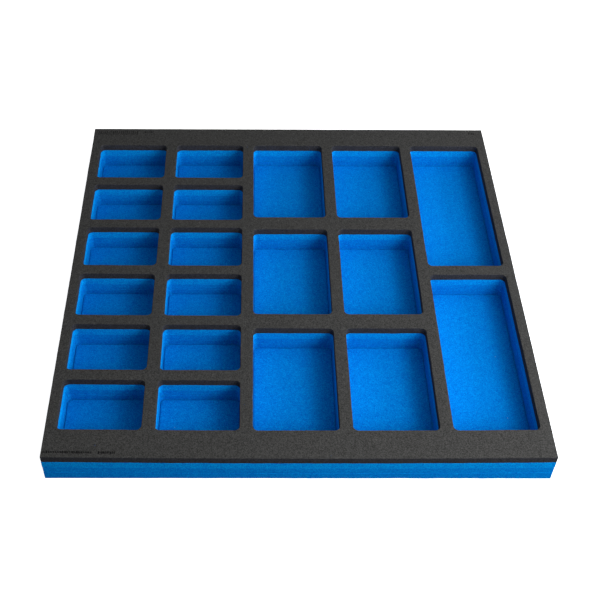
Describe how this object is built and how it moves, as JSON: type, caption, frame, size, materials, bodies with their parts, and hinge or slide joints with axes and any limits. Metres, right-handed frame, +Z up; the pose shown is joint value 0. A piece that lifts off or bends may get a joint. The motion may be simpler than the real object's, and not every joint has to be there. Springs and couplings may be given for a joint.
{
  "type": "foam box insert organizer",
  "caption": "Flat laminated foam insert for a box or drawer: a charcoal cover sheet over blue foam, routed with small, medium and large round-cornered pockets.",
  "frame": {"origin": "centre of the underside of the base sheet", "axes": "+X to the right along the front edge (small pockets at -X, large pockets at +X), +Y from the front edge to the back edge, +Z up out of the pockets"},
  "size_m": [0.564, 0.564, 0.04],
  "materials": {
    "foam_charcoal": "closed-cell polyethylene foam, skived matt face with a fine cell speckle",
    "foam_blue": "closed-cell polyethylene foam, routed matt faces with faint cutter steps",
    "adhesive": "thin hot-melt bond line, dull"
  },
  "bodies": {
    "root": {"base_sheet_blue": "foam_blue", "bond_film_lower": "adhesive", "middle_sheet_blue": "foam_blue", "bond_film_centre": "adhesive", "upper_sheet_blue": "foam_blue", "bond_film_upper": "adhesive", "cover_sheet_charcoal": "foam_charcoal"}
  },
  "joints": []
}
